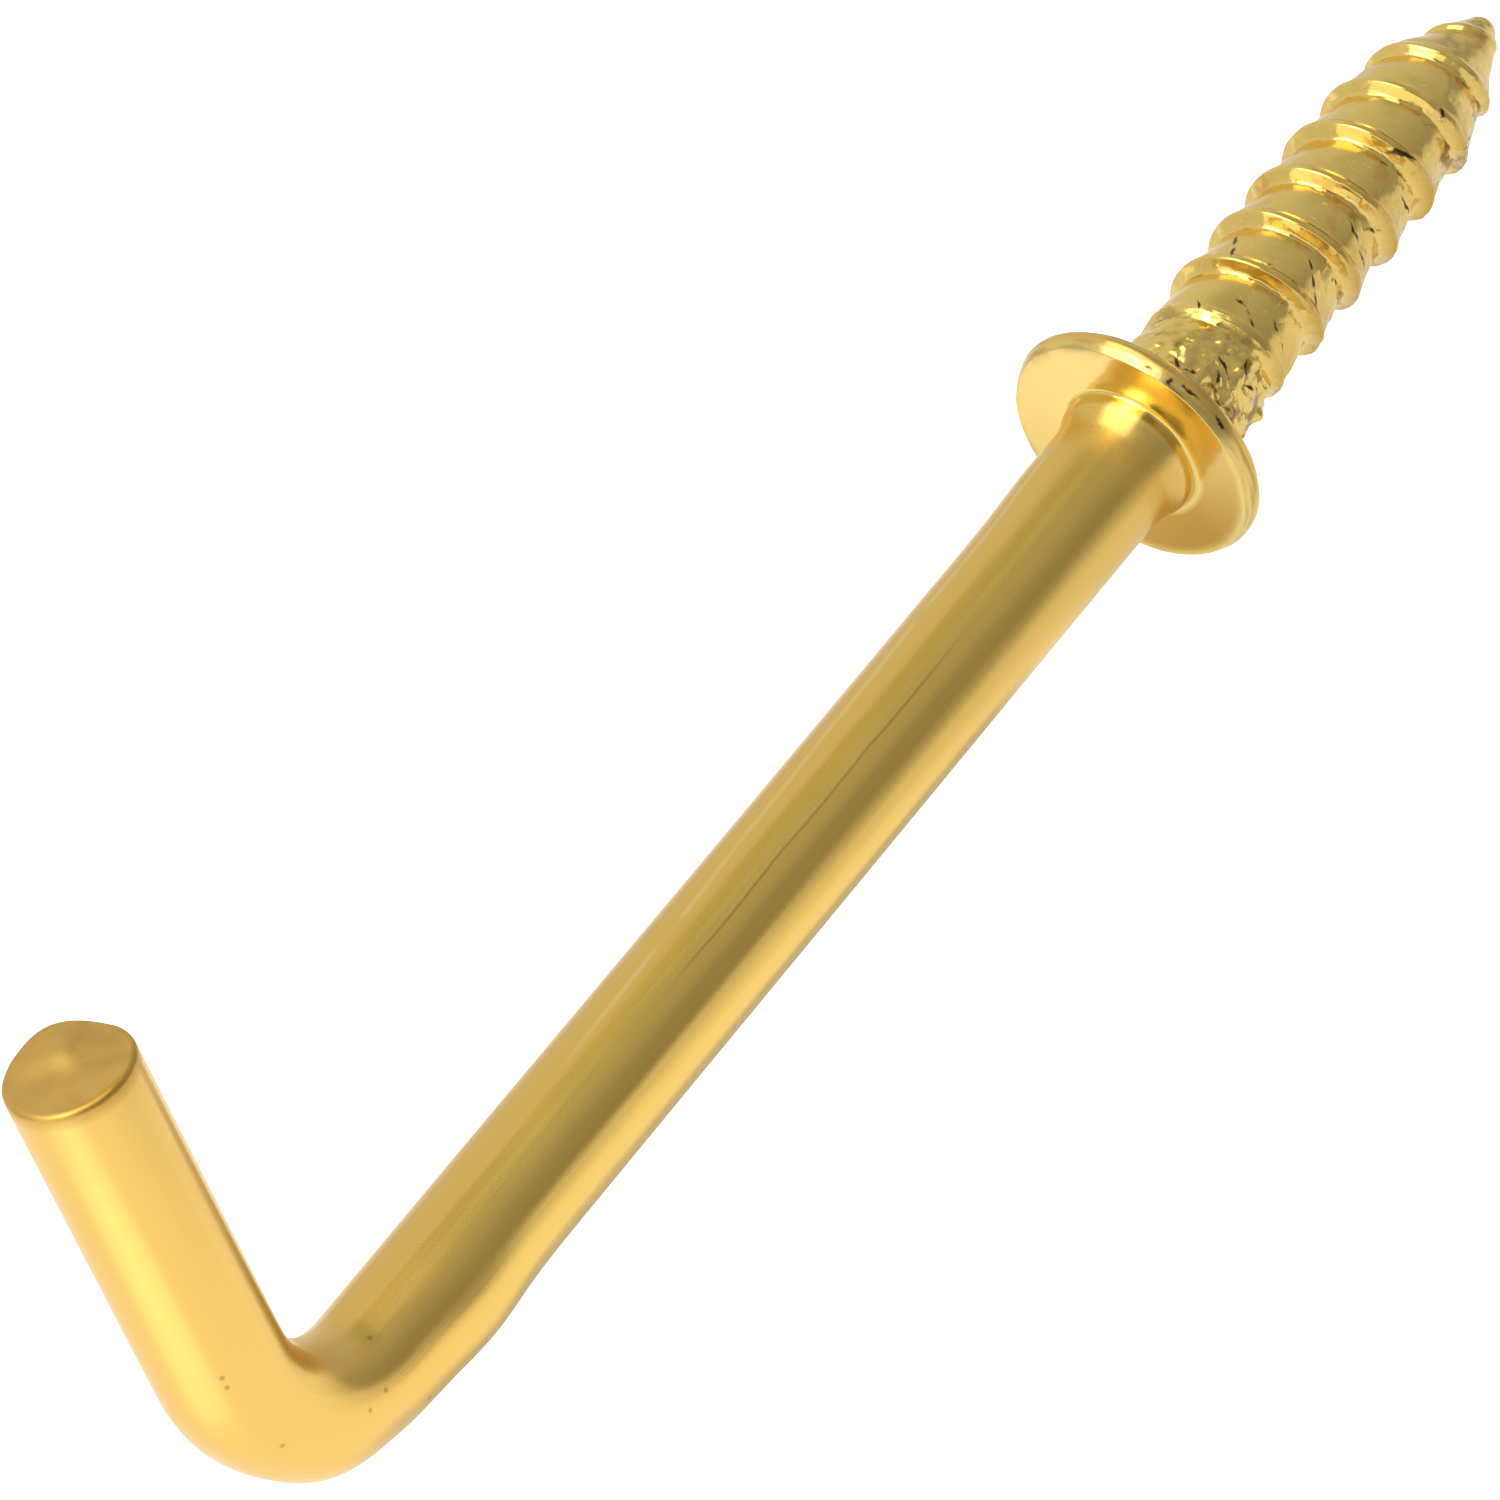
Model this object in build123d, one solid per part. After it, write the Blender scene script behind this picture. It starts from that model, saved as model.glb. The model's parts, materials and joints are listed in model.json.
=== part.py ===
from build123d import *
import os
from math import cos, pi, radians, sin, sqrt, tan

# Square dresser hook: one length of round wire, cold-headed, thread-rolled and bent.
# Frame: the origin is the centre of the collar's bearing face, the face that meets the wood.
# +Y runs along the screw into the wood, -Y along the shank, and the short leg turns up along +Z.

# ---------------------------------------------------------------- driving dimensions, mm
wire_diameter = 3.2          # shank and leg
reach = 36.7                 # bearing face to the axis of the upturned leg
leg_rise = 13.2              # shank axis to the top of the leg's end face
bend_radius = 3.75           # centre line of the square bend

collar_diameter = 6.88
collar_thickness = 0.75      # bearing face to the sharp front rim
front_rim_inset = 0.13       # the front rim lies this far inside the widest circle
back_rim_inset = 0.32        # the bearing face ends this far inside the widest circle
widest_depth = 0.38          # bearing face to the widest circle
collar_dish = 0.10           # the front face sinks this much below its rim

lip_overhang = 0.28          # the ring where the die stopped stands this far proud of the wire
lip_height = 0.30            # ring's sharp edge above the collar's dished face
lip_flare = 1.0              # length over which the wire swells out to the ring

neck_diameter = 3.36         # plain stretch between the collar and the thread
neck_length = 2.1            # bearing face to where the neck has thinned to the root
neck_fillet = 0.55           # hollow corner between the bearing face and the neck
root_diameter = 3.2
thread_pitch = 1.737
thread_height = 0.33         # root to crest
screw_length = 16.05         # bearing face to the tip of the point
thread_run_out = 3.3         # length over which the thread grows from the neck to full height
thread_start = 1.2           # bearing face to the first trace of the thread
thread_phase = 28.0          # where the first trace lies, degrees from +Z towards +X

crest_land = 0.13            # width of the crest
head_flank = 0.28            # axial width of the steep flank that faces the collar
tip_flank = 0.70             # axial width of the easy flank that faces the point
thread_sink = 0.12           # the ridge is rooted this deep in the core

point_angle = 23.0           # half angle of the gimlet point's cone
easing_length = 1.4          # shallower cone between the core and the point, at half the angle
tip_radius = 0.34            # rounding of the tip
point_fade = 4.2             # length before the tip over which the thread shrinks

end_rounding = 0.28          # worn edge of the leg's end face
end_nub_radius = 0.62        # low nub left on the end face by the cropping tool
end_nub_height = 0.12
end_nub_x = -0.47            # the nub lies off the leg's axis, to the left
end_nub_y = 0.29             # and towards the collar

# ---------------------------------------------------------------- derived sizes
wire_radius = wire_diameter / 2
root_radius = root_diameter / 2
collar_radius = collar_diameter / 2
pieces_per_turn = 1
sections_per_piece = 12
smallest_scale = 0.12        # the thread's ends stop at this share of its full section

# The cone meets a small ball at the tip, and the straight core through a shallower cone.
half_angle = radians(point_angle)
ball_centre = screw_length - tip_radius
ball_contact_y = ball_centre + tip_radius * sin(half_angle)
ball_contact_r = tip_radius * cos(half_angle)
easing_slope = tan(half_angle / 2)
cone_start_r = root_radius - easing_length * easing_slope
cone_start_y = ball_contact_y - (cone_start_r - ball_contact_r) / tan(half_angle)
core_end_y = cone_start_y - easing_length
thread_end = ball_centre


def core_radius(y):
    """Radius of the screw's core at a distance y behind the bearing face."""
    if y <= core_end_y:
        return root_radius
    if y <= cone_start_y:
        return root_radius - (y - core_end_y) * easing_slope
    return cone_start_r - (y - cone_start_y) * tan(half_angle)


def thread_scale(y):
    """Share of the full thread section that stands at y: it fades out at both ends."""
    growing = (y - thread_start) / thread_run_out
    shrinking = sqrt(max(0.0, thread_end - y) / point_fade)
    return max(smallest_scale, min(1.0, growing, shrinking))


def thread_section(y, angle):
    """The ridge's section in a plane through the screw's axis, as a closed wire."""
    scale = thread_scale(y)
    height = (thread_height + thread_sink) * scale
    top = core_radius(y) + thread_height * scale
    foot = top - height
    half_land = crest_land / 2 * scale
    head_foot = half_land + height * head_flank / thread_height
    tip_foot = half_land + height * tip_flank / thread_height

    def at(radius, place):
        return Vector(radius * sin(angle), place, radius * cos(angle))

    corners = [at(foot, y - head_foot), at(top, y - half_land), at(top, y + half_land), at(foot, y + tip_foot)]
    return Wire.make_polygon(corners, close=True)


def thread_turns():
    """Right-hand ridge, lofted turn by turn through sections set round the helix."""
    whole = (thread_end - thread_start) / thread_pitch
    count = max(1, round(whole * pieces_per_turn))
    turns = []
    for piece in range(count):
        sections = []
        for step in range(sections_per_piece + 1):
            turned = whole * (piece + step / sections_per_piece) / count
            angle = radians(thread_phase) + 2 * pi * turned
            sections.append(thread_section(thread_start + thread_pitch * turned, angle))
        turns.append(Solid.make_loft(sections))
    return turns


def turned_body():
    """Shank, lip, collar, neck and screw core, turned about the Y axis."""
    face_y = -(collar_thickness - collar_dish)
    lip_y = face_y - lip_height
    lip_r = wire_radius + lip_overhang
    front_r = collar_radius - front_rim_inset
    back_r = collar_radius - back_rim_inset
    neck_r = neck_diameter / 2
    fillet_r = neck_r + neck_fillet
    bend_start_y = -(reach - bend_radius)

    with BuildPart() as body:
        with BuildSketch(Plane.XY):
            with BuildLine():
                Line((0, bend_start_y), (wire_radius, bend_start_y))
                Line((wire_radius, bend_start_y), (wire_radius, lip_y - lip_flare))
                # the wire swells out in a hollow flare and ends in the lip's sharp edge
                TangentArc((wire_radius, lip_y - lip_flare), (lip_r, lip_y), tangent=(0, 1))
                Line((lip_r, lip_y), (lip_r, face_y))
                # dished front face, sharp front rim, rounded edge
                Line((lip_r, face_y), (front_r, -collar_thickness))
                ThreePointArc((front_r, -collar_thickness), (collar_radius, -widest_depth), (back_r, 0))
                Line((back_r, 0), (fillet_r, 0))
                RadiusArc((fillet_r, 0), (neck_r, neck_fillet), neck_fillet)
                Line((neck_r, neck_fillet), (root_radius, neck_length))
                Line((root_radius, neck_length), (root_radius, core_end_y))
                Line((root_radius, core_end_y), (cone_start_r, cone_start_y))
                Line((cone_start_r, cone_start_y), (ball_contact_r, ball_contact_y))
                RadiusArc((ball_contact_r, ball_contact_y), (0, screw_length), -tip_radius)
                Line((0, screw_length), (0, bend_start_y))
            make_face()
        revolve(axis=Axis.Y)
    return body.part


def bend_and_leg():
    """Quarter bend and the upturned leg, with its worn end face and the nub on it."""
    bend_centre = Axis((0, bend_radius - reach, bend_radius), (1, 0, 0))
    leg_axis = Axis((0, -reach, 0), (0, 0, 1))
    nub_axis = Axis((end_nub_x, end_nub_y - reach, 0), (0, 0, 1))
    nub_curve = (end_nub_radius**2 + end_nub_height**2) / (2 * end_nub_height)
    face_z = leg_rise - end_nub_height
    shoulder_r = wire_radius - end_rounding

    with BuildPart() as leg:
        with BuildSketch(Plane.XZ.offset(reach - bend_radius)):
            Circle(wire_radius)
        revolve(axis=bend_centre, revolution_arc=-90)
        with BuildSketch(Plane.YZ):
            with BuildLine(Location((-reach, 0))):
                Line((0, bend_radius), (wire_radius, bend_radius))
                Line((wire_radius, bend_radius), (wire_radius, face_z - end_rounding))
                RadiusArc((wire_radius, face_z - end_rounding), (shoulder_r, face_z), -end_rounding)
                Line((shoulder_r, face_z), (0, face_z))
                Line((0, face_z), (0, bend_radius))
            make_face()
        revolve(axis=leg_axis)
        with BuildSketch(Plane.YZ.offset(end_nub_x)):
            with BuildLine(Location((end_nub_y - reach, 0))):
                Line((0, face_z - end_nub_height), (end_nub_radius, face_z - end_nub_height))
                Line((end_nub_radius, face_z - end_nub_height), (end_nub_radius, face_z))
                RadiusArc((end_nub_radius, face_z), (0, leg_rise), -nub_curve)
                Line((0, leg_rise), (0, face_z - end_nub_height))
            make_face()
        revolve(axis=nub_axis)
    return leg.part


def build_hook():
    """The whole hook as one solid."""
    wire = turned_body() + bend_and_leg()
    hook = wire.solid().fuse(*thread_turns())
    return hook.solids()


if __name__ == "__main__":
    os.makedirs("parts", exist_ok=True)
    solids = build_hook()
    print("solids", len(solids), [s.is_valid for s in solids], [round(s.volume, 2) for s in solids])
    export_step(solids[0], "parts/hook.step")
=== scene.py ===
# %% [markdown]
# # A square dresser hook in brass
# The hook is one length of round brass wire. A cold-heading machine squeezes a collar on it,
# rolling dies press a wood-screw thread into one end, and a press bends the other end up square.
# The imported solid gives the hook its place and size. This lesson dresses it: one closed skin
# with a real helical thread, the dents of its making, and a procedural brass.

import json
from math import atan2, cos, degrees, exp, floor, hypot, pi, radians, sin, sqrt, tan

import bmesh
import bpy
from mathutils import Matrix, Vector, noise


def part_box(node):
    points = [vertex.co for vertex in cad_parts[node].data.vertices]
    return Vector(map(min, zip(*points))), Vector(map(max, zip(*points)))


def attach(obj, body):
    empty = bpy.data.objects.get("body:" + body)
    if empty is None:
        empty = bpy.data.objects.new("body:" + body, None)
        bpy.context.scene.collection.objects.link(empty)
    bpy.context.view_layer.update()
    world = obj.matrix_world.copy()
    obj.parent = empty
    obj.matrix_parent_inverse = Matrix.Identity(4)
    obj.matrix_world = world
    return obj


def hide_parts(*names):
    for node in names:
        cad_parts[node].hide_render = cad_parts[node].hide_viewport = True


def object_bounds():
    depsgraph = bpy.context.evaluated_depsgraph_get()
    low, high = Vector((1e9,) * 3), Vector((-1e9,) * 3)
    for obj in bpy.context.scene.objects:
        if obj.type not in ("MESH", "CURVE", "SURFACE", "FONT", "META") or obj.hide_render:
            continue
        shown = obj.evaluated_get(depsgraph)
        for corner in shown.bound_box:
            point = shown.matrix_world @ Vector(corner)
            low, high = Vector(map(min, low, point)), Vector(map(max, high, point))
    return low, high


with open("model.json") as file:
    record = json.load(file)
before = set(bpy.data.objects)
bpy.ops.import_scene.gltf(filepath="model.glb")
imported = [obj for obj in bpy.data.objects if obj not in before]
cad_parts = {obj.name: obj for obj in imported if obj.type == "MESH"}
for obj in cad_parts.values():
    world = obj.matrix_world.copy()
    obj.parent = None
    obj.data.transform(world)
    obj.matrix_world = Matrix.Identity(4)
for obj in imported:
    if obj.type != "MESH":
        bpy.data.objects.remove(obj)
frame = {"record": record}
cad_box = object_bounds()
print("frame box, mm:", [round(1000 * v, 2) for corner in cad_box for v in corner])

# %% [markdown]
# ## Sizes
# The model is built in millimetres and scaled to metres at the end, because hook sizes read
# better that way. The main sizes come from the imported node's box and from its leg mount, so the
# skin follows the solid. The small ones, such as the collar's edge, are the solid's own values.

# %% Sizes from the frame
MM = 0.001
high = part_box("hook")[1] / MM
mounts = {m["name"]: m for m in frame["record"]["mounts"]}
wire_r = mounts["leg"]["dims"]["r_mm"]
reach = -mounts["leg"]["pos_m"][1] / MM
screw_length = high.y
leg_rise = high.z
collar_r = high.x
for name, size in (("wire radius", wire_r), ("reach", reach), ("screw", screw_length), ("leg", leg_rise)):
    print(name, round(size, 2), "mm")

bend_r = 3.75               # centre line of the bend
bend_start = -(reach - bend_r)
collar_depth = 0.75
dish = 0.10                 # how much the collar's front face sinks below its rim
lip_r = wire_r + 0.25
lip_front = -0.96
flare = 1.0                 # length over which the wire swells out to the lip
neck_r = 1.68
neck_end = 2.1              # where the neck has thinned to the root
neck_fillet = 0.55
root_r = 1.60
pitch = 1.737
thread_start = 1.2
thread_phase = 28.0         # degrees from +Z towards +X
thread_height = 0.33
around = 144                # vertices round the wire

# %% [markdown]
# ## The core of the screw
# Under its thread the screw is a plain bar that narrows to a gimlet point. One function gives
# the bar's radius at any distance from the bearing face, and the skin's rings ask it.

# %% Core radius
point_angle = radians(23.0)
point_slope = tan(point_angle)
easing_slope = tan(point_angle / 2)     # a shallower cone eases the bar into the point
easing = 1.4
tip_r = 0.43
ball_centre = screw_length - tip_r
ball_y = ball_centre + tip_r * sin(point_angle)
ball_r = tip_r * cos(point_angle)
cone_r = root_r - easing * easing_slope
cone_y = ball_y - (cone_r - ball_r) / point_slope
print("the point's cone starts at", round(cone_y, 2), "mm and its ball at", round(ball_y, 2), "mm")


def core_radius(y):
    """Radius of the screw's bar at y, from the neck to the ball of the point."""
    if y < neck_fillet:
        return neck_r
    if y < neck_end:
        return neck_r + (root_r - neck_r) * (y - neck_fillet) / (neck_end - neck_fillet)
    if y < cone_y - easing:
        return root_r
    if y < cone_y:
        return root_r - (y - cone_y + easing) * easing_slope
    return cone_r - (y - cone_y) * point_slope


def smooth(t):
    """0 below 0, 1 above 1, and a soft step between."""
    t = min(1.0, max(0.0, t))
    return t * t * (3 - 2 * t)


def bell(away, width):
    """1 at 0, falling off softly on both sides."""
    return exp(-(away / width) ** 2)


# %% [markdown]
# ## A helical sheet for the thread
# A thread drawn on plain rings shows steps, because its crest crosses the rings at a slant. So
# the sheet is spun like the real thread: one line of vertices turns about the screw's axis and
# climbs one pitch per turn. The last column then lies on the first, a pitch further on, and
# merging doubles closes the sheet. Every crest is now one unbroken row of edges.

# %% Spin the helical sheet
rows_per_pitch = 36
crowding = 0.6          # rows crowd together at the crest, where the form is sharpest
sheet_start = 0.8       # the sheet replaces the plain neck from here on
first_crest = thread_start - pitch * thread_phase / 360


def line_of(bm, places):
    """A chain of vertices, each one pulled out of the last."""
    chain = [bm.verts.new(places[0])]
    for place in places[1:]:
        out = bmesh.ops.extrude_vert_indiv(bm, verts=[chain[-1]])
        out["verts"][0].co = Vector(place)
        chain.append(out["verts"][0])
    return chain


places = []
for turn in range(-2, 9):
    for row in range(rows_per_pitch):
        t = row / rows_per_pitch
        climbed = turn + t - crowding * sin(2 * pi * t) / (2 * pi)
        places.append((0, first_crest + pitch * climbed, 1))

skin = bmesh.new()
line_of(skin, places)
bmesh.ops.spin(skin, geom=skin.verts[:] + skin.edges[:], cent=(0, 0, 0), axis=(0, 1, 0),
               dvec=(0, pitch / around, 0), angle=2 * pi, steps=around)
bmesh.ops.remove_doubles(skin, verts=skin.verts, dist=0.0005)
for height, drop_above in ((sheet_start, False), (ball_y, True)):
    bmesh.ops.bisect_plane(skin, geom=skin.verts[:] + skin.edges[:] + skin.faces[:], dist=1e-5,
                           plane_co=(0, height, 0), plane_no=(0, 1, 0),
                           clear_outer=drop_above, clear_inner=not drop_above)
print("helical sheet:", len(skin.faces), "faces")

# %% [markdown]
# ## Press the thread into the sheet
# The dies push metal up between them into a ridge with a steep flank towards the collar and an
# easy one towards the point. Every vertex moves out from the axis by the ridge's height at its
# distance from the crest. Small dies wander, so the crest sways a little along the axis and its
# height varies. The ridge starts as a trace on the neck and fades again at the point.

# %% Raise the ridge
half_land = 0.065       # half the crest's width
head_flank = 0.22       # width of the steep flank, towards the collar
tip_flank = 1.33        # width of the easy flank, towards the point
head_foot = 0.3         # share of the steep flank that curves into the root
wander = 0.05           # how far the crest sways along the axis


def thread_scale(y):
    """Share of the full ridge that stands at y."""
    growing = smooth((y - thread_start - 0.35) / 2.8)
    shrinking = sqrt(max(0.0, ball_centre - y) / 4.2)
    thinned = 1 - 0.16 * bell(y - 12.0, 1.3)
    return min(growing, shrinking, 1.0) * thinned


def past_crest(v):
    """Distance of a vertex along the axis from its nearest crest, positive towards the point."""
    turned = degrees(atan2(v.co.x, v.co.z)) / 360
    t = (v.co.y - first_crest) / pitch - turned
    return (t - floor(t + 0.19)) * pitch


def ridge(away):
    """Height of the ridge, 0 to 1, at a distance from its crest."""
    if away > half_land:
        t = (away - half_land) / tip_flank
        return 0.84 * max(0.0, 1 - t) ** 1.2 + 0.16 * bell(away - half_land, 0.08)
    t = 1 - max(0.0, -away - half_land) / head_flank
    if t <= 0:
        return 0.0
    eased = t * t / (2 * head_foot) if t < head_foot else t - head_foot / 2
    return eased / (1 - head_foot / 2)


marks = skin.verts.layers.float_vector.new("marks")
for v in skin.verts:
    away = past_crest(v)
    scale = thread_scale(v.co.y)
    outward = Vector((v.co.x, 0, v.co.z)).normalized()
    lie = outward * 1.9 + Vector((0, v.co.y, 0))
    rise = ridge(away)
    on_flank = rise * (1 - rise) * 4 if away < 0 else 0
    at_foot = bell(away + half_land + head_flank, 0.10)
    r = core_radius(v.co.y) + thread_height * scale * rise * (1 + 0.12 * noise.noise(lie * 0.7))
    sway = wander * scale * noise.noise(lie * 0.5 + Vector((9, 0, 0)))
    beaten = 0.030 * on_flank * noise.noise(lie * 2.6) + 0.010 * noise.noise(lie * 1.7)
    beaten += 0.016 * at_foot * noise.noise(lie * 5.5)
    v.co = outward * (r + beaten * scale) + Vector((0, v.co.y + sway, 0))
    # The second mark is the ridge's height; on the worked side it later becomes painted shade on the
    # crests.
    v[marks] = (0.30 * bell(away + 0.20, 0.16) * scale, rise * scale, 0)
print("over the crests:", round(2 * max(hypot(v.co.x, v.co.z) for v in skin.verts), 2), "mm")

# %% [markdown]
# ## Round the tip
# The sheet ends in a small open ring. Pulling the ring forward and in, a little at a time,
# makes the worn ball of the point, and merging the last ring to one vertex closes it.

# %% Close the point


def open_ring(bm, test):
    """Open edges whose middle passes the test."""
    return [e for e in bm.edges if e.is_boundary and test((e.verts[0].co + e.verts[1].co) / 2)]


def pull_ring(bm, edges, move):
    """Extrudes a ring of edges and moves its new vertices, then returns the new ring."""
    out = bmesh.ops.extrude_edge_only(bm, edges=edges)["geom"]
    for v in out:
        if isinstance(v, bmesh.types.BMVert):
            v.co = move(v.co)
    return [e for e in out if isinstance(e, bmesh.types.BMEdge)]


def close_ring(bm, edges, place):
    """Pulls a last ring and merges it to one vertex."""
    ring = pull_ring(bm, edges, lambda p: p)
    bmesh.ops.pointmerge(bm, verts=list({v for e in ring for v in e.verts}), merge_co=place)


def screw_ring(radius, y):
    """Moves a vertex to a ring round the screw's axis."""
    return lambda p: Vector((p.x, 0, p.z)).normalized() * radius + Vector((0, y, 0))


ring = open_ring(skin, lambda p: p.y > ball_y - 0.01)
for lean in (35, 50, 65, 78):
    lean = radians(lean)
    ring = pull_ring(skin, ring, screw_ring(tip_r * cos(lean), ball_centre + tip_r * sin(lean)))
close_ring(skin, ring, (0, screw_length, 0))
print("edges still open at the neck:", len(open_ring(skin, lambda p: True)))

# %% [markdown]
# ## Collar, lip and shank
# The collar is upset between two dies. It has a dished front face, a sharp front rim and a
# rounded edge, and where the front die stopped, a thin lip stands round the wire. The outline is
# a chain of corners. Bevelling a corner's vertex rounds it, and one full spin makes the solid.

# %% Outline of the collar
seam_gap = 0.05         # left open between the two halves, and bridged later
shank_start = lip_front - flare - 0.5
outline = [             # place along the axis, radius, and how far the corner is rounded
    (sheet_start - seam_gap, neck_r, 0),
    (0.0, neck_r, neck_fillet),
    (0.0, 2.6, 0),
    (0.0, 3.0, 0),
    (0.0, collar_r - 0.32, 0.06),
    (-0.20, collar_r, 0.14),
    (-0.52, collar_r, 0.12),
    (-collar_depth, collar_r - 0.13, 0.02),
    (-collar_depth + 0.011, 3.15, 0),
    (-collar_depth + 0.019, 3.04, 0),
    (-collar_depth + 0.032, 2.85, 0),
    (-collar_depth + 0.050, 2.60, 0),
    (-collar_depth + 0.068, 2.35, 0),
    (-collar_depth + 0.085, 2.12, 0),
    (-(collar_depth - dish), lip_r, 0.12),
    (lip_front, lip_r, 0.15),
    (lip_front - 0.42, wire_r + 0.05, 0.25),
    (lip_front - flare, wire_r, 0.2),
    (shank_start, wire_r, 0),
]

turned = bmesh.new()
chain = line_of(turned, [(0, y, r) for y, r, _ in outline])
for corner, (_, _, offset) in zip(chain, outline):
    if offset:
        bmesh.ops.bevel(turned, geom=[corner], offset=offset, offset_type="OFFSET", affect="VERTICES",
                        segments=6, profile=0.5, material=-1)
end = min(turned.verts, key=lambda v: v.co.y)
shank_rows = 90
for row in range(1, shank_rows + 1):
    y = shank_start + (bend_start - shank_start) * row / shank_rows
    end = bmesh.ops.extrude_vert_indiv(turned, verts=[end])["verts"][0]
    end.co = Vector((0, y, wire_r))
bmesh.ops.spin(turned, geom=turned.verts[:] + turned.edges[:], cent=(0, 0, 0), axis=(0, 1, 0),
               angle=2 * pi, steps=around, use_merge=True)
print("collar and shank:", len(turned.faces), "faces")

# %% [markdown]
# ## The square bend and the leg
# The wire's end ring is spun a quarter turn about the axis that the press bends it round, and
# then pulled straight up. The leg was cut off square, and its edge is worn round.

# %% Bend and leg
ring = open_ring(turned, lambda p: p.y < bend_start + 0.01)
corners = list({v for e in ring for v in e.verts})
out = bmesh.ops.spin(turned, geom=ring + corners, cent=(0, bend_start, bend_r), axis=(1, 0, 0),
                     angle=-pi / 2, steps=40)
ring = [g for g in out["geom_last"] if isinstance(g, bmesh.types.BMEdge)]
lump_height = 0.12      # the lump on the end stands above its face
face_z = leg_rise - lump_height
rounding = 0.15
leg_rows = 30
face_rows = 22


def leg_ring(radius, z):
    """Moves a vertex to a ring round the leg's axis."""
    return lambda p: Vector((p.x, p.y + reach, 0)).normalized() * radius + Vector((0, -reach, z))


for row in range(1, leg_rows + 1):
    z = bend_r + (face_z - rounding - bend_r) * row / leg_rows
    ring = pull_ring(turned, ring, lambda p: Vector((p.x, p.y, z)))
face_r = wire_r - rounding
for lean in range(15, 91, 15):
    lean = radians(lean)
    below = rounding * (1 - sin(lean))
    ring = pull_ring(turned, ring, leg_ring(face_r + rounding * cos(lean), face_z - below))
for row in range(1, face_rows):
    ring = pull_ring(turned, ring, leg_ring(face_r * (1 - row / face_rows), face_z))
close_ring(turned, ring, (0, -reach, face_z))
print("with bend and leg:", len(turned.faces), "faces")

# %% [markdown]
# ## One closed skin
# The two halves join where the neck is plain. Bridging fills the narrow gap between the two
# rings, which have different numbers of vertices.

# %% Join the halves
half = bpy.data.meshes.new("half")
turned.to_mesh(half)
turned.free()
skin.from_mesh(half)
bpy.data.meshes.remove(half)
gap = open_ring(skin, lambda p: 0 < p.y < 2)
bmesh.ops.bridge_loops(skin, edges=gap)
bmesh.ops.recalc_face_normals(skin, faces=skin.faces)
print("open edges:", sum(e.is_boundary for e in skin.edges), "faces:", len(skin.faces),
      "volume mm3:", round(skin.calc_volume(), 1))

# %% [markdown]
# ## Where a point lies along the straight wire
# Drawing marks run along the wire, through the bend too. Each vertex therefore keeps the place
# it had before the wire was bent, as an attribute that the material reads.

# %% Straight places
straight = skin.verts.layers.float_vector.new("straight")
bend_length = bend_r * pi / 2
for v in skin.verts:
    x, y, z = v.co
    if y > bend_start:
        v[straight] = (x, y, z)
    elif z < bend_r:
        back, down = bend_start - y, bend_r - z
        v[straight] = (x, bend_start - bend_r * atan2(back, down), bend_r - hypot(back, down))
    else:
        v[straight] = (x, bend_start - bend_length - (z - bend_r), y + reach)
print("wire before it was bent:", round(screw_length - min(v[straight].y for v in skin.verts), 1), "mm")

# %% [markdown]
# ## Marks of the making
# Nothing here was machined true. The drawing die left long shallow flats on the wire, the press
# squeezed the outside of the bend and crumpled its inside, the cropping tool left a low lump on
# the leg's end, and the metal at the neck folded as the thread was rolled. Each mark moves
# vertices along their normals, as a sculpting brush does. The loop below also keeps masks for
# painted shade on the collar's face, on the lower crests and round the leg's cut end.

# %% Flats along the wire, folds at the neck


def ring_angle(x, z):
    """Degrees round the screw's axis, 0 at +Z and 90 at +X."""
    return degrees(atan2(x, z))


def folds(p):
    """Sharp creases between soft swellings."""
    return abs(noise.noise(p * 1.5)) + 0.5 * abs(noise.noise(p * 3.3)) - 0.25


def turn_from(angle, other):
    """Degrees between two directions round the axis."""
    return (angle - other + 180) % 360 - 180


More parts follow.
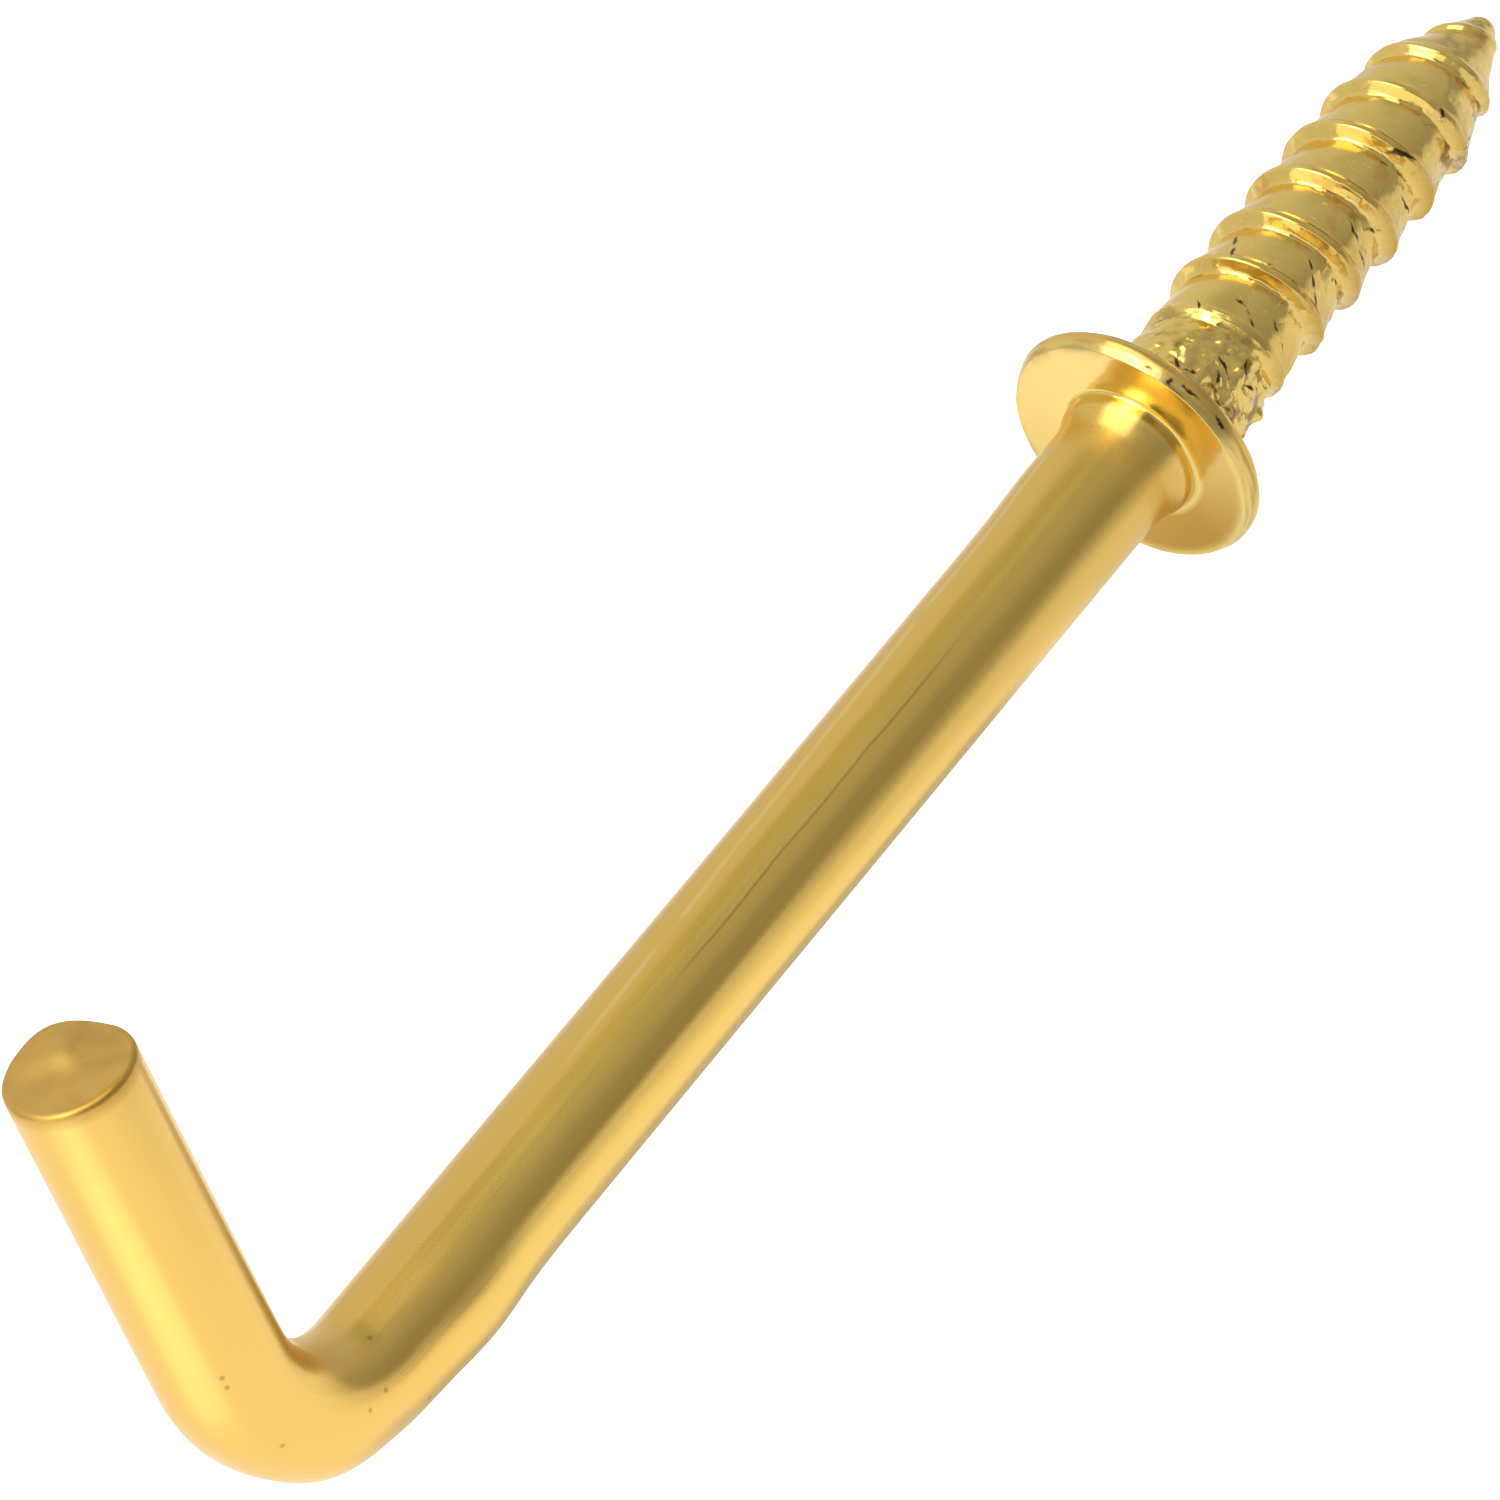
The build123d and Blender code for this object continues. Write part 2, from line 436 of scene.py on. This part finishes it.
skin.normal_update()
lower_right = 125.0     # the side of the screw that the dies worked hardest, whose crests also get painted shade
face_shade = 162.0      # the side of the collar's face that gets the most painted shade
wire_from = -1.2        # the plain wire begins in front of the lip
for v in skin.verts:
    x, s, h = v[straight]
    angle, r = ring_angle(x, h), hypot(x, h)
    outward = Vector((x, 0, h)).normalized()
    if s < wire_from:
        flats = noise.noise(Vector((outward.x * 2.4, outward.z * 2.4, s * 0.05)))
        lines = noise.noise(Vector((outward.x * 5.52, outward.z * 5.52, s * 0.07)))
        cut = smooth((v.co.z - face_z + 0.3) / 0.2)
        v.co += v.normal * (0.012 * flats + 0.008 * lines) * smooth((wire_from - s) / 1.5) * (1 - cut)
        v.co += v.normal * 0.014 * noise.noise(v.co * 1.6) * cut
        # Painted shade: a brown line round part of the cut end's rim, standing for a groove's shade.
        painted_rim_shade = bell(r - 1.52, 0.09) * bell(turn_from(angle, 104), 34)
        v[marks] = (0, cut * painted_rim_shade, -cut)
    elif s < 0.02:      # the collar
        on_edge = smooth((r - 3.1) / 0.15)
        v.co += outward * on_edge * 0.03 * noise.noise(outward * 3 + Vector((0, s * 4, 0)))
        # Painted shade browns the collar's face on the side of face_shade.
        painted_shade = bell(turn_from(angle, face_shade), 85) * smooth((r - 1.95) / 0.1)
        v[marks] = (0, painted_shade * (1 - on_edge), on_edge)
    elif r < 2.2:       # the neck and the screw
        side = bell(turn_from(angle, lower_right), 62)
        neck = smooth((s - 0.3) / 0.5) * smooth((3.4 - s) / 1.2)
        fade = smooth((15.4 - s) / 1.5)
        swelling = 0.24 * bell(turn_from(angle, lower_right), 40) * bell(s - 2.0, 0.95)
        swelling += 0.10 * bell(turn_from(angle, -25), 45) * bell(s - 1.5, 0.5)
        crumple = 0.26 * neck * (0.4 + 0.6 * side) + 0.06 * side * fade
        v.co += outward * (swelling + crumple * folds(v.co))
        worked = min(1.0, neck * (0.45 + 0.55 * side) + 0.72 * side * fade + 0.22 + v[marks].x)
        # The second mark becomes painted shade that browns the crests on the worked side.
        v[marks] = (worked, v[marks].y * side * 0.8, 0)
print("widest across the collar:", round(2 * max(v.co.x for v in skin.verts), 2), "mm")

# %% [markdown]
# ## Single marks
# Some marks happened once: the bulge the press left outside the bend, the metal crowded inside it,
# the lump and hollows of the cropped end. Each is one stroke, with a place, a size and a height.

# %% Brush strokes


def press(place, size, amount):
    """Raises, or with a negative amount sinks, a soft round patch of the skin."""
    centre = Vector(place)
    for v in skin.verts:
        away = (v.co - centre).length
        if away < 2.5 * size:
            v.co += v.normal * amount * bell(away, size)


strokes = [
    ("bulge outside the bend", (1.37, -30.4, -0.82), 1.5, 0.15),
    ("flat beside it", (1.35, -33.84, -0.77), 0.9, -0.06),
    ("bulge under the bend", (0.94, -35.9, -0.35), 1.1, 0.10),
    ("fullness inside the bend", (0.2, -34.35, 2.4), 0.8, 0.07),
    ("a fold in it", (0.75, -34.5, 2.4), 0.18, -0.025),
    ("a second fold", (0.35, -34.2, 2.2), 0.16, -0.02),
    ("swelling by the lip", (-1.05, -2.9, 1.2), 1.6, 0.08),
    ("lump on the leg's end", (-0.47, 0.29 - reach, face_z), 0.52, 0.11),
    ("hollow beside it", (0.55, 0.45 - reach, face_z), 0.45, -0.05),
    ("hollow below it", (-0.6, -0.6 - reach, face_z), 0.4, -0.03),
    ("worn point", (0.35, 15.1, -0.3), 0.6, 0.09),
    ("swollen rim of the leg's end", (-1.3, 0.8 - reach, face_z - 0.2), 0.8, 0.12),
    ("worn rim of the leg's end", (-0.1, 1.5 - reach, face_z - 0.2), 0.7, -0.07),
]
for name, place, size, amount in strokes:
    press(place, size, amount)
print("strokes:", len(strokes))

# %% [markdown]
# ## From millimetres to metres
# The skin is scaled once, written to a mesh and shaded smooth. Nothing is split or left open, so
# it can be rebuilt, printed or weighed as it is.

# %% Finish the mesh
bmesh.ops.scale(skin, verts=skin.verts, vec=(MM, MM, MM))
mesh = bpy.data.meshes.new("brass_hook")
skin.to_mesh(mesh)
skin.free()
for polygon in mesh.polygons:
    polygon.use_smooth = True
brass_hook = bpy.data.objects.new("brass_hook", mesh)
bpy.context.scene.collection.objects.link(brass_hook)
print("triangles:", sum(len(p.vertices) - 2 for p in mesh.polygons))

# %% [markdown]
# ## Brass
# Polished brass takes nearly all its look from what it mirrors, so the colour is the metal's own
# warm reflectance. On top come a faint cloudiness, drawing lines that follow the wire, painted
# reflection bands along it, painted shade on the rolled crests, and dark cracks where the thread's
# metal folded.

# %% Node helpers, which add to whichever tree is current
brass = bpy.data.materials.new("brass")
brass.use_nodes = True
tree = brass.node_tree
shader = tree.nodes["Principled BSDF"]
shader.inputs["Metallic"].default_value = 1.0


def node(kind, settings=None, **inputs):
    """A new node, its settings, and its inputs as values or as sockets to link from."""
    made = tree.nodes.new("ShaderNode" + kind)
    for name, value in (settings or {}).items():
        setattr(made, name, value)
    for name, value in inputs.items():
        socket = made.inputs[int(name[1:]) if name[1:].isdigit() else name]
        if isinstance(value, bpy.types.NodeSocket):
            tree.links.new(value, socket)
        else:
            socket.default_value = value
    return made


def calc(operation, first, second=0.0):
    """Arithmetic on two values or sockets."""
    return node("Math", {"operation": operation}, i0=first, i1=second).outputs[0]


def times(*values):
    """The product of all the values."""
    product = values[0]
    for value in values[1:]:
        product = calc("MULTIPLY", product, value)
    return product


def plus(*values):
    """The sum of all the values."""
    total = values[0]
    for value in values[1:]:
        total = calc("ADD", total, value)
    return total


def vector_calc(operation, first, second):
    """Arithmetic on two vectors. A distance or a dot product gives a number, and the rest a vector."""
    made = node("VectorMath", {"operation": operation}, i0=first, i1=second)
    return made.outputs["Value" if operation in ("DISTANCE", "DOT_PRODUCT") else "Vector"]


def band(value, start, stop):
    """0 at start, 1 at stop, softly."""
    made = node("MapRange", {"interpolation_type": "SMOOTHSTEP"}, Value=value)
    made.inputs["From Min"].default_value = start
    made.inputs["From Max"].default_value = stop
    return made.outputs["Result"]


def blend(amount, first, second):
    """Mixes two colours, given as values or sockets."""
    made = node("Mix", {"data_type": "RGBA"}, i0=amount, i6=first, i7=second)
    return made.outputs[2]


# %% [markdown]
# ## Where the finish sits
# The brass reads three things: the place in space, the place along the straight wire, and the
# marks kept on the vertices. Where the value called scuffed is negative, the metal is the cut end.

# %% Places and marks
here = node("TexCoord").outputs["Object"]
along = node("Attribute", {"attribute_name": "straight"}).outputs["Vector"]
x, s, h = node("SeparateXYZ", None, Vector=along).outputs       # in millimetres, s along the wire
marked = node("Attribute", {"attribute_name": "marks"}).outputs["Vector"]
worked, painted_shade_mask, scuffed = node("SeparateXYZ", None, Vector=marked).outputs
round_wire = calc("ARCTAN2", x, h)        # radians round the wire, 0 at the side where the leg stands


def cloud(size, detail=2.0, vector=here):
    """Soft noise, 0 to 1, with blotches of this size in the units of its vector."""
    return node("TexNoise", None, Vector=vector, Scale=1 / size, Detail=detail).outputs["Fac"]


# %% [markdown]
# ## Cracks
# The screw's surface is unrolled to a flat map, distance along it against angle round it. Each
# crack is a few thin lenses end to end on that map, and a noise bends and breaks them.

# %% Cracks, drawn on the unrolled screw
skin_r = 1.75           # about the screw's mean radius
warp = 0.3
crack_half_width = 0.07
noise_colour = node("TexNoise", None, Vector=here, Scale=1 / 0.0004).outputs["Color"]
unrolled = node("CombineXYZ", None, i0=s, i1=times(round_wire, skin_r)).outputs[0]
wavering = node("VectorMath", {"operation": "MULTIPLY_ADD"}, i0=noise_colour, i1=(warp, warp, 0),
                i2=unrolled).outputs[0]
cracks = [      # distance along the screw and degrees round it, from point to point
    [(5.55, -11), (5.05, -2), (4.55, 9)],
    [(5.95, 58), (5.72, 66), (5.40, 78), (5.03, 92)],
    [(7.62, 60), (7.30, 86), (7.25, 111)],
    [(6.12, 88), (6.32, 92), (6.30, 99)],
    [(7.90, 80), (8.25, 95)],
    [(3.66, 30), (3.55, 44), (3.15, 60)],
    [(3.90, 66), (3.60, 94)],
    [(4.72, 26), (4.95, 38)],
    [(11.85, 58), (11.70, 70)],
    [(12.60, 106), (11.90, 103)],
    [(9.38, 84), (9.58, 115)],
    [(9.75, 47), (10.30, 75)],
    [(2.05, 48), (1.80, 69)],
    [(1.62, 54), (1.40, 75)],
    [(1.25, 20), (1.05, 34), (1.20, 46)],
    [(2.60, 70), (2.10, 84), (2.25, 100)],
    [(3.05, 5), (2.70, 16)],
    [(-0.60, 27), (-0.57, 36), (-0.62, 44)],
    [(-0.50, 40), (-0.55, 55), (-0.52, 72)],
]
nearest = 9.0
for line in cracks:
    for start, end in zip(line, line[1:]):
        a, b = (Vector((y, radians(angle) * skin_r, 0)) for y, angle in (start, end))
        lens = node("Mapping", {"vector_type": "TEXTURE"}, Vector=wavering,
                    Location=(a + b) / 2 + Vector((warp / 2, warp / 2, 0)),
                    Rotation=(0, 0, atan2(b.y - a.y, b.x - a.x)),
                    Scale=((b - a).length * 0.55, crack_half_width, 1)).outputs[0]
        length = node("VectorMath", {"operation": "LENGTH"}, i0=lens).outputs["Value"]
        nearest = calc("MINIMUM", length, nearest)
uneven = band(cloud(0.0003, 1.0), 0.36, 0.50)
off_face = calc("MAXIMUM", band(s, 0.0, 0.2), band(scuffed, 0.3, 0.7))
crack = times(band(nearest, 1.0, 0.4), uneven, off_face)
print("cracks:", len(cracks), "nodes so far:", len(tree.nodes))

# %% [markdown]
# ## Lines drawn along the wire
# A wire keeps the marks of its drawing die as fine lines that run the whole length: a bright one
# where the metal was rubbed and a dark scratch. Beside them, broad golden and olive stripes are
# painted reflection bands. They are laid out by the angle round the wire, and a slow noise along
# it makes them waver and break.

# %% Drawn lines
only_along = node("CombineXYZ", None, i0=s).outputs[0]
waver = calc("SUBTRACT", cloud(3.5, 2.0, only_along), 0.5)
line_angle = plus(times(round_wire, degrees(1)), times(waver, 7.0))
broken = band(cloud(1.6, 2.0, only_along), 0.32, 0.50)
on_wire = band(s, -2.0, -3.2)


def stripe(middle, half_width, angle=line_angle):
    """1 along a line on the wire at this angle, in degrees, and 0 beyond its half width."""
    away = calc("ABSOLUTE", calc("SUBTRACT", angle, middle))
    return times(band(away, half_width, half_width * 0.3), on_wire)


slanting = plus(line_angle, times(s, 1.15))
rubbed = times(stripe(-22.5, 4.0, slanting), broken, band(s, -26, -22))
scratch_run = times(band(s, -22, -19), band(s, -8, -11))
scratch = times(stripe(35, 1.6), scratch_run)
scratch_lip = times(stripe(32, 2.2), scratch_run)
# Painted reflection: broad golden and olive stripes at set angles round the wire.
golden_painted_reflection = plus(stripe(18, 8), stripe(-24, 9))
olive_painted_reflection = stripe(58, 13)
print("nodes with the drawn lines:", len(tree.nodes))

# %% [markdown]
# ## Colour
# The straight wire is a lemon brass, and the bent end is a little warmer. Painted shade browns the
# lower crests, the shaded part of the collar's face and a line on the leg's cut end, painted light
# pales the bend's inner corner, folds hold dark dirt and a little red, and small specks are
# scattered where the lacquer failed.

# %% Where each tone lies
bent = band(s, -27, -34)
on_screw = band(s, 0.0, 0.5)
on_face = times(band(s, -1.15, -0.95), band(s, -0.45, -0.6))
on_edge = calc("MAXIMUM", scuffed, 0.0)
cut_end = calc("MAXIMUM", times(scuffed, -1.0), 0.0)
patches = cloud(0.004, 3.0)
# Painted shade from the second mark, broken a little by the patches.
painted_shade = times(painted_shade_mask, plus(times(patches, 0.4), 0.78))
cropped = times(cut_end, plus(times(cloud(0.0011, 3.0), 1.1), 0.05))
# Painted light: a paler patch in the bend's inner corner, which lifts its shade.
inner_corner = Vector((0.3, -34.3, 2.2)) * MM
corner = band(vector_calc("DISTANCE", here, inner_corner), 0.0013, 0.0005)
ring_place = node("CombineXYZ", None, i0=times(x, 0.6), i1=times(s, 6.0), i2=times(h, 0.6)).outputs[0]
rings = cloud(1.0, 4.0, ring_place)
scuff = times(on_edge, band(rings, 0.45, 0.64))
rust = times(worked, band(cloud(0.0009, 1.0), 0.66, 0.74))
grime = times(band(cloud(0.0008, 3.0), 0.54, 0.64), band(s, 3.6, 2.4), worked)

# %% [markdown]
# ## The tones in layers
# Each layer is a mask, its strength and the colour it brings. They are laid over one another in
# this order: metal, painted reflection bands and drawing lines, painted shade and light, wear, dirt.

# %% Colour
lemon = (0.87, 0.58, 0.148, 1)
warm = (0.88, 0.56, 0.145, 1)
hue = blend(times(plus(bent, calc("SUBTRACT", patches, 0.5)), 0.9), lemon, warm)
layers = [
    (on_screw, 1.0, (0.93, 0.67, 0.20, 1)),
    (on_face, 1.0, (0.92, 0.68, 0.22, 1)),
    # painted reflection bands along the wire
    (golden_painted_reflection, 0.42, (0.74, 0.44, 0.07, 1)),
    (olive_painted_reflection, 0.35, (0.66, 0.46, 0.10, 1)),
    (rubbed, 0.45, (0.99, 0.76, 0.33, 1)),
    (scratch_lip, 0.3, (0.95, 0.70, 0.28, 1)),
    (scratch, 0.45, (0.42, 0.24, 0.05, 1)),
    (cropped, 1.0, (0.58, 0.35, 0.09, 1)),
    # painted shade, in brown
    (painted_shade, 1.0, (0.55, 0.31, 0.05, 1)),
    # painted light in the bend's inner corner
    (corner, 0.6, (0.86, 0.64, 0.24, 1)),
    (scuff, 0.55, (0.45, 0.27, 0.10, 1)),
    (rust, 0.6, (0.80, 0.22, 0.04, 1)),
    (grime, 0.75, (0.26, 0.15, 0.035, 1)),
    (crack, 0.95, (0.05, 0.025, 0.01, 1)),
]
for mask, strength, colour in layers:
    hue = blend(times(mask, strength), hue, colour)
print("layers:", len(layers))

# %% [markdown]
# ## Specks
# Cells of a Voronoi pattern scatter small specks over the whole hook, only a few cells in a
# hundred having one. The handled bend has some more, set one by one.

# %% Specks
specks = node("TexVoronoi", None, Vector=here, Scale=420.0)
rare = band(node("SeparateXYZ", None, Vector=specks.outputs["Color"]).outputs[0], 0.90, 0.92)
speck = times(band(specks.outputs["Distance"], 0.09, 0.04), rare)
set_specks = [
    (1.28, -37.66, 4.61), (1.28, -37.66, 4.30), (1.38, -37.12, 1.90), (1.58, -34.69, 0.68),
    (1.53, -34.01, 0.64), (0.82, -33.27, 1.40), (1.43, -32.95, -0.71), (1.12, -35.06, -0.67),
]
closest = 1.0
for centre in set_specks:
    closest = calc("MINIMUM", vector_calc("DISTANCE", here, Vector(centre) * MM), closest)
speck = calc("MAXIMUM", speck, band(closest, 0.00009, 0.00004))
hue = blend(times(speck, 0.5), hue, (0.30, 0.14, 0.05, 1))
tree.links.new(hue, shader.inputs["Base Color"])
print("nodes so far:", len(tree.nodes))

# %% [markdown]
# ## Roughness and fine relief
# Drawing lines and cloudy patches make the polish uneven, and the cut end and the scuffed edge of
# the collar are duller. Where the dies worked the metal hardest it broke into small flat facets.

# %% Roughness and fine relief


def facets(size, slope):
    """Height of small flat facets, each tilted its own way."""
    cells = node("TexVoronoi", None, Vector=here, Scale=1 / size)
    from_middle = vector_calc("SUBTRACT", here, cells.outputs["Position"])
    tilt = vector_calc("SUBTRACT", cells.outputs["Color"], (0.5, 0.5, 0.5))
    return times(vector_calc("DOT_PRODUCT", from_middle, tilt), 2 * slope / MM)


line_place = node("Mapping", None, Vector=along, Scale=(5.0, 0.12, 5.0)).outputs[0]
lines = cloud(1.0, 4.0, line_place)
on_shank = band(s, -0.8, -1.3)
dull = plus(times(lines, 0.14), times(patches, 0.10), times(scuff, 0.2), times(on_shank, 0.10),
            times(cut_end, 0.12), times(corner, 0.25), 0.05)
tree.links.new(dull, shader.inputs["Roughness"])

folded = times(plus(facets(0.0008, 0.22), facets(0.00033, 0.11)), times(worked, worked))
relief = plus(times(lines, 0.003), folded, times(rings, times(on_edge, 0.009)))
bump = node("Bump", None, Height=relief, Strength=1.0, Distance=MM)
tree.links.new(bump.outputs[0], shader.inputs["Normal"])
mesh.materials.append(brass)

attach(brass_hook, "root")
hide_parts("hook")
print("brass is on", brass_hook.name, "with", len(tree.nodes), "nodes")

# %% [markdown]
# ## A room to mirror
# A polished metal is lit by giving it something to mirror. The room is grey and paler on the left.
# It is darker and a little green at the back, and dark where the viewer stands, since a polished
# piece always mirrors whoever looks at it.

# %% Room
world = bpy.data.worlds.new("studio")
bpy.context.scene.world = world
world.use_nodes = True
tree = world.node_tree
looking = node("TexCoord").outputs["Generated"]


def facing(direction):
    """How closely a ray follows a direction, from -1 to 1."""
    return vector_calc("DOT_PRODUCT", looking, direction)


def darker(level, amount, where):
    """Takes a share off a level, where the mask is 1."""
    return times(level, calc("SUBTRACT", 1.0, times(where, amount)))


room_level = plus(times(facing((-0.90, 0.0, 0.435)), 0.23), 0.50)
at_back = band(facing((0.05, 0.52, 0.852)), 0.87, 0.99)
at_viewer = band(facing((0.45, -0.52, 0.72)), 0.94, 0.99)
room_level = darker(darker(room_level, 0.22, at_back), 0.65, at_viewer)
tree.links.new(room_level, tree.nodes["Background"].inputs["Strength"])
tint = blend(at_back, (1.0, 1.0, 0.95, 1), (0.95, 1.0, 0.80, 1))
tree.links.new(tint, tree.nodes["Background"].inputs["Color"])
print("room nodes:", len(tree.nodes))

# %% [markdown]
# ## Softboxes
# A broad softbox hangs overhead and lights the floor. A softbox and a small lamp in front of it
# give the highlights, and a low warm card colours the steep flanks of the thread, which on the
# real hook mirror other brass.

# %% Softboxes
light_distance = 0.8


def softbox(name, shape, azimuth, elevation, size, radiance, colour):
    """An area light that faces the hook. Azimuth 0 is in front, along -Y, and 90 is +X."""
    azimuth, elevation = radians(azimuth), radians(elevation)
    flat = cos(elevation)
    place = light_distance * Vector((flat * sin(azimuth), -flat * cos(azimuth), sin(elevation)))
    light = bpy.data.lights.new(name, "AREA")
    light.shape = shape
    light.size, light.size_y = size
    light.energy = radiance * pi * size[0] * size[1] * (pi / 4 if shape == "ELLIPSE" else 1)
    light.color = colour
    lamp = bpy.data.objects.new(name, light)
    lamp.matrix_world = Matrix.Translation(place) @ place.to_track_quat("Z", "Y").to_matrix().to_4x4()
    lamp.visible_camera = False
    bpy.context.scene.collection.objects.link(lamp)
    print(name, "gives", round(light.energy, 2), "W")


softbox("overhead", "RECTANGLE", 0, 84, (0.72, 0.70), 1.4, (1, 1, 0.93))
softbox("lamp", "ELLIPSE", 0, 60, (0.24, 0.34), 4.6, (1, 1, 1))
softbox("front", "RECTANGLE", 0, 50, (0.56, 0.36), 1.3, (1, 1, 0.95))
softbox("card", "RECTANGLE", 5, 20, (0.8, 0.6), 0.68, (1, 0.95, 0.58))

# %% [markdown]
# ## Floor
# White paper under the hook keeps its shadow. What the brass mirrors of the paper is set apart
# from what the eye sees of it, with painted light and shade: brighter in front and before the leg,
# and painted shade far behind, to the far left, by the collar and under the shank.

# %% Floor
floor_depth = 0.001
bm = bmesh.new()
bmesh.ops.create_circle(bm, cap_ends=True, segments=64, radius=4.0)
bmesh.ops.translate(bm, verts=bm.verts, vec=(0, 0, cad_box[0].z - floor_depth))
floor_mesh = bpy.data.meshes.new("floor")
bm.to_mesh(floor_mesh)
bm.free()
ground = bpy.data.objects.new("floor", floor_mesh)
bpy.context.scene.collection.objects.link(ground)
paper = bpy.data.materials.new("paper")
paper.use_nodes = True
tree = paper.node_tree
sheet = tree.nodes["Principled BSDF"]
sheet.inputs["Base Color"].default_value = (0.9, 0.9, 0.9, 1)
sheet.inputs["Roughness"].default_value = 1.0
sheet.inputs["Specular IOR Level"].default_value = 0.0
sheet.inputs["Emission Color"].default_value = (1, 1, 1, 1)
path = node("LightPath").outputs
seen = calc("MAXIMUM", path["Is Camera Ray"], path["Is Transmission Ray"])
tree.links.new(times(seen, 0.7), sheet.inputs["Emission Strength"])
floor_place = node("TexCoord").outputs["Object"]
spot = node("VectorMath", {"operation": "SCALE"}, i0=floor_place, Scale=1 / MM).outputs[0]


def away_from(x, y):
    """Distance on the floor from a place, both in millimetres."""
    level_place = (x, y, (cad_box[0].z - floor_depth) / MM)
    return vector_calc("DISTANCE", spot, level_place)


def across(x, y):
    """Distance over the floor in one direction, in millimetres."""
    return vector_calc("DOT_PRODUCT", spot, (x, y, 0))


# Painted light and shade on the paper as the brass mirrors it: pools of light in front and before the
# leg, shade far behind, far left, by the collar and under the shank.
in_front = band(across(-0.77, -0.63), -4, 6)
painted_light_before_leg = band(away_from(3, -55), 14, 2)
far_behind = band(across(0.8, 0.6), 8, 40)
far_left = times(band(across(-1, 0), 8, 20), band(across(0, 1), -26, -16))
painted_shadow_at_collar = band(away_from(-0.5, -1.2), 4.8, 1.4)
painted_shadow_under_shank = times(band(calc("ABSOLUTE", calc("SUBTRACT", across(1, 0), 0.2)), 2.8, 1.2),
                    times(band(across(0, 1), -36, -30), band(across(0, 1), -4, -8)))
mirrored = plus(times(in_front, 0.26), 0.86, times(painted_light_before_leg, 0.6))
for amount, where in ((0.60, far_behind), (0.30, far_left), (0.15, painted_shadow_at_collar), (0.45, painted_shadow_under_shank)):
    mirrored = darker(mirrored, amount, where)
glow = node("Emission", None, Strength=mirrored)
chosen = node("MixShader", None, i0=path["Is Glossy Ray"], i1=sheet.outputs[0], i2=glow.outputs[0])
tree.links.new(chosen.outputs[0], tree.nodes["Material Output"].inputs["Surface"])
floor_mesh.materials.append(paper)
print("the floor lies", round((floor_depth - cad_box[0].z) / MM, 2), "mm below the screw's axis")

# %% [markdown]
# ## Camera
# A long lens looks down on the hook from its open side, so the leg and the screw keep their shape.

# %% Camera
camera_data = bpy.data.cameras.new("camera")
camera_data.lens = 244.94
camera_data.sensor_width = 36.0
camera_data.clip_start = 0.01
camera = bpy.data.objects.new("camera", camera_data)
bpy.context.scene.collection.objects.link(camera)
right = Vector((0.76511, 0.55641, -0.32405))        # the camera's own axes, in the hook's frame
up = Vector((-0.17206, 0.66165, 0.72981))
back = Vector((0.62048, -0.50263, 0.60197))
turn = Matrix((right, up, back)).transposed().to_4x4()
camera.matrix_world = Matrix.Translation(Vector((0.14905, -0.13621, 0.14798))) @ turn
bpy.context.scene.camera = camera

scene = bpy.context.scene
scene.view_settings.view_transform = "Standard"
print("camera at", [round(v, 3) for v in camera.matrix_world.translation], "m")
